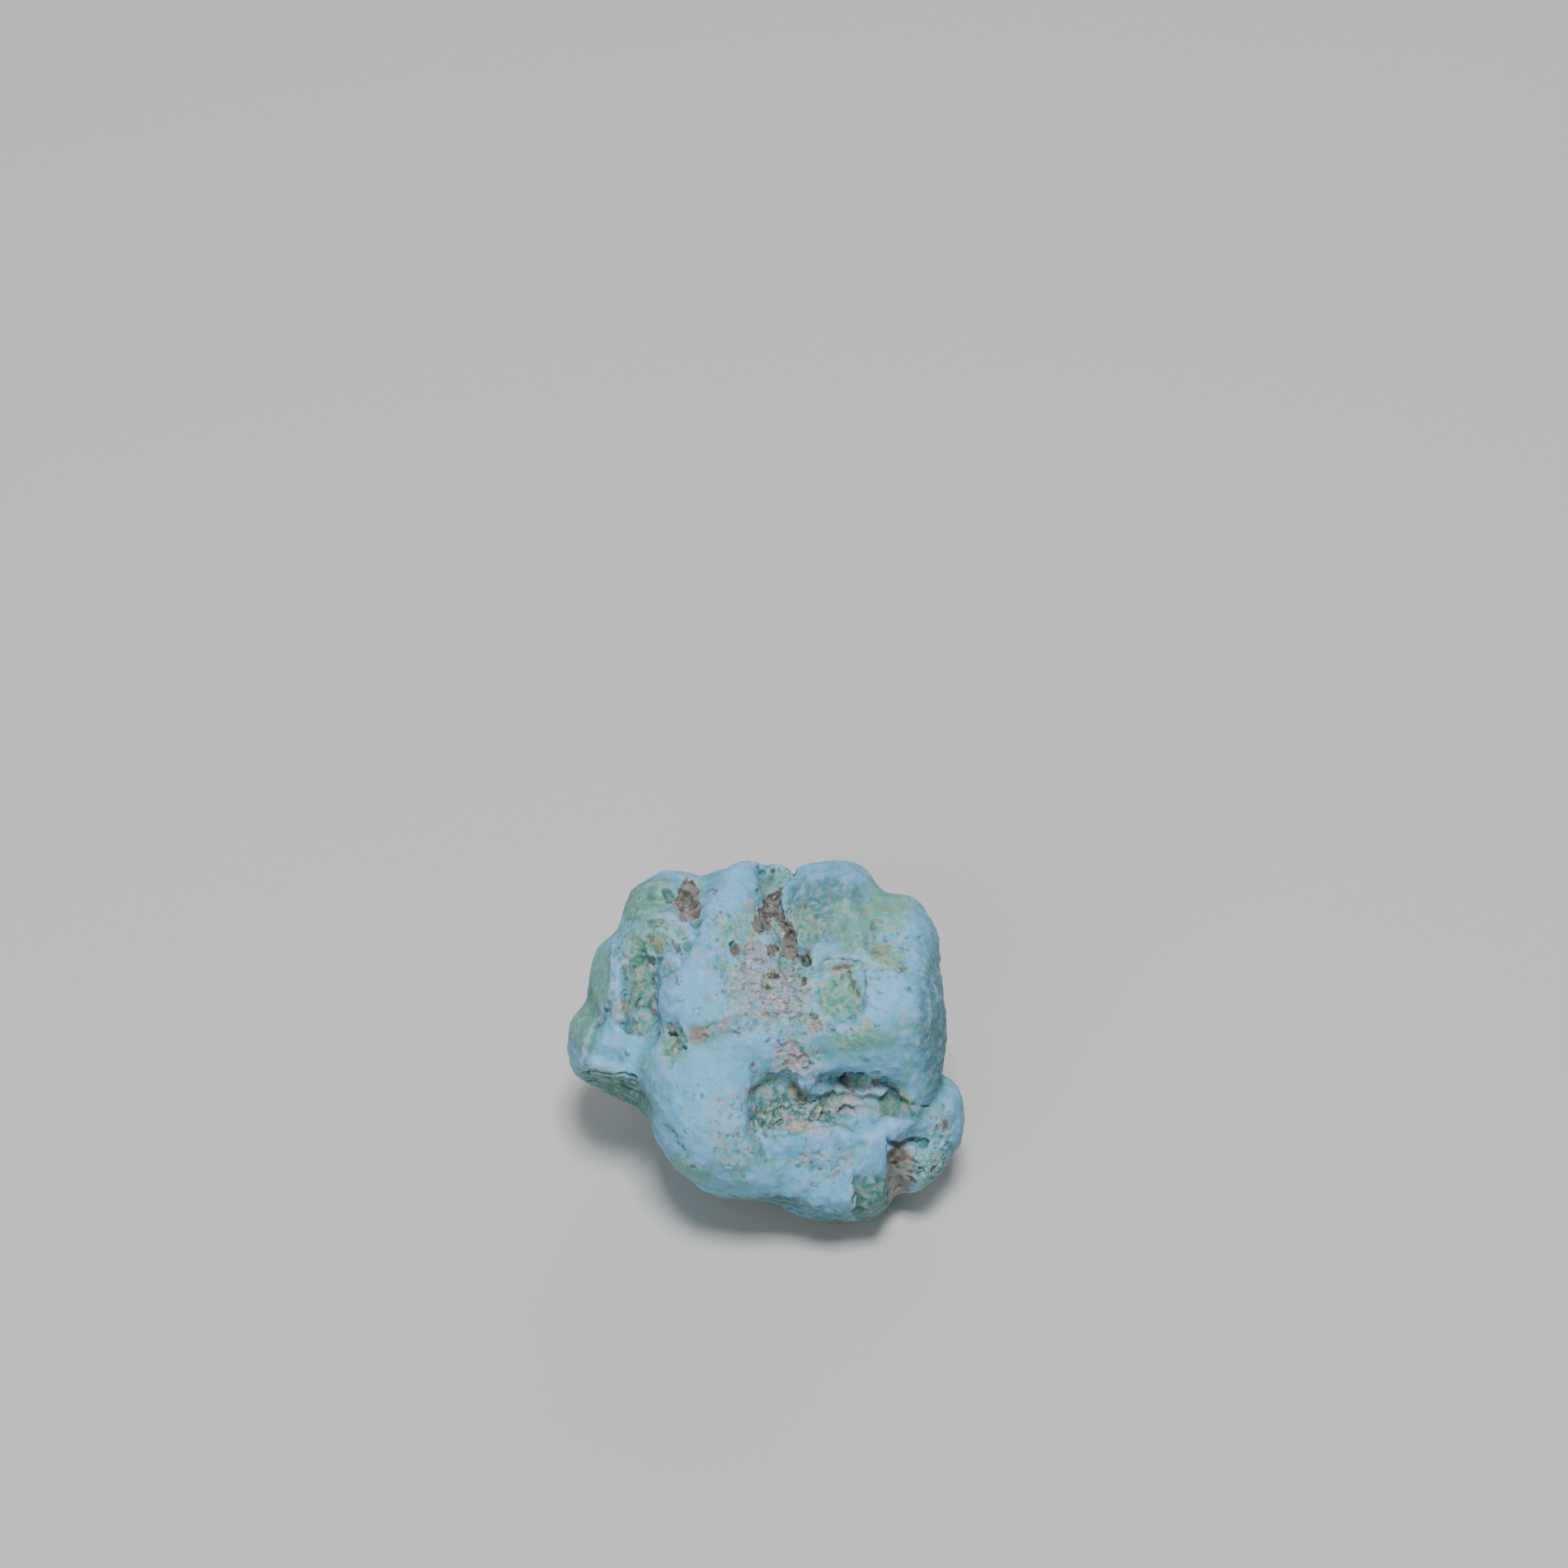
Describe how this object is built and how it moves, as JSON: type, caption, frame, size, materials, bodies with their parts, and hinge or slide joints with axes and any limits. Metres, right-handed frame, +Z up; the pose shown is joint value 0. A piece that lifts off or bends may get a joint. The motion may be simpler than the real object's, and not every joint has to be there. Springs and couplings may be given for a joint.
{
  "type": "raw turquoise nugget",
  "caption": "Rough, lumpy stone of natural turquoise with a ledged front, broken back faces and a small worn flat to rest on",
  "frame": {"origin": "middle of the bounding box's underside, on the surface that the stone rests on", "axes": "+X across the stone, its longest extent; -Y its front; +Z up"},
  "size_m": [0.03, 0.0268, 0.0224],
  "materials": {
    "turquoise": "waxy matte blue-green stone with brown and pinkish matrix"
  },
  "bodies": {
    "root": {"nugget": "turquoise"}
  },
  "joints": []
}
